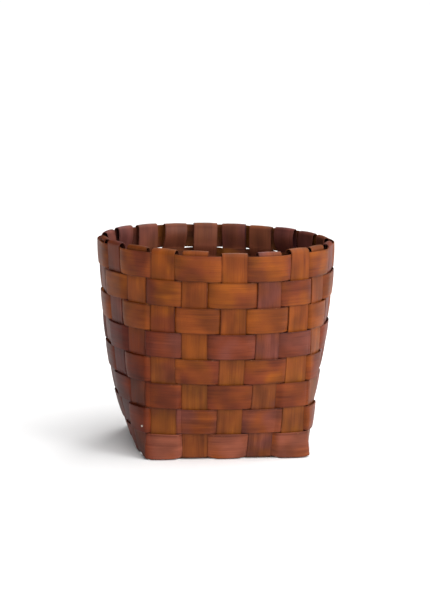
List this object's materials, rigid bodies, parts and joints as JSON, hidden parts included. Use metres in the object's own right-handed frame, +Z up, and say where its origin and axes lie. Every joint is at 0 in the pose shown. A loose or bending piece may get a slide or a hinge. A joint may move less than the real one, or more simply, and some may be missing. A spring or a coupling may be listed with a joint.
{
  "type": "wastebasket",
  "caption": "Open plaited basket of wide wood splints with a square woven base, walls that flare to a round rim and strip ends folded over the rim; holds waste paper.",
  "frame": {"origin": "on the floor under the middle of the basket", "axes": "+Z up, -Y the front, +X to the right seen from the front"},
  "size_m": [0.2868, 0.2837, 0.2555],
  "materials": {
    "upright_wood": "stained red-brown splint with a semi-gloss lacquer, grain along the strip",
    "weaver_wood": "stained red-brown splint with a semi-gloss lacquer, grain along the ring",
    "tack_steel": "small bright steel tacks"
  },
  "bodies": {
    "root": {"front_to_back_strip_1": "upright_wood", "front_to_back_strip_2": "upright_wood", "front_to_back_strip_3": "upright_wood", "front_to_back_strip_4": "upright_wood", "front_to_back_strip_5": "upright_wood", "side_to_side_strip_1": "upright_wood", "side_to_side_strip_2": "upright_wood", "side_to_side_strip_3": "upright_wood", "side_to_side_strip_4": "upright_wood", "side_to_side_strip_5": "upright_wood", "weaver_ring_1": "weaver_wood", "weaver_ring_2": "weaver_wood", "weaver_ring_3": "weaver_wood", "weaver_ring_4": "weaver_wood", "weaver_ring_5": "weaver_wood", "weaver_ring_6": "weaver_wood", "weaver_ring_7": "weaver_wood", "weaver_ring_8": "weaver_wood", "lap_tacks": "tack_steel"}
  },
  "joints": []
}
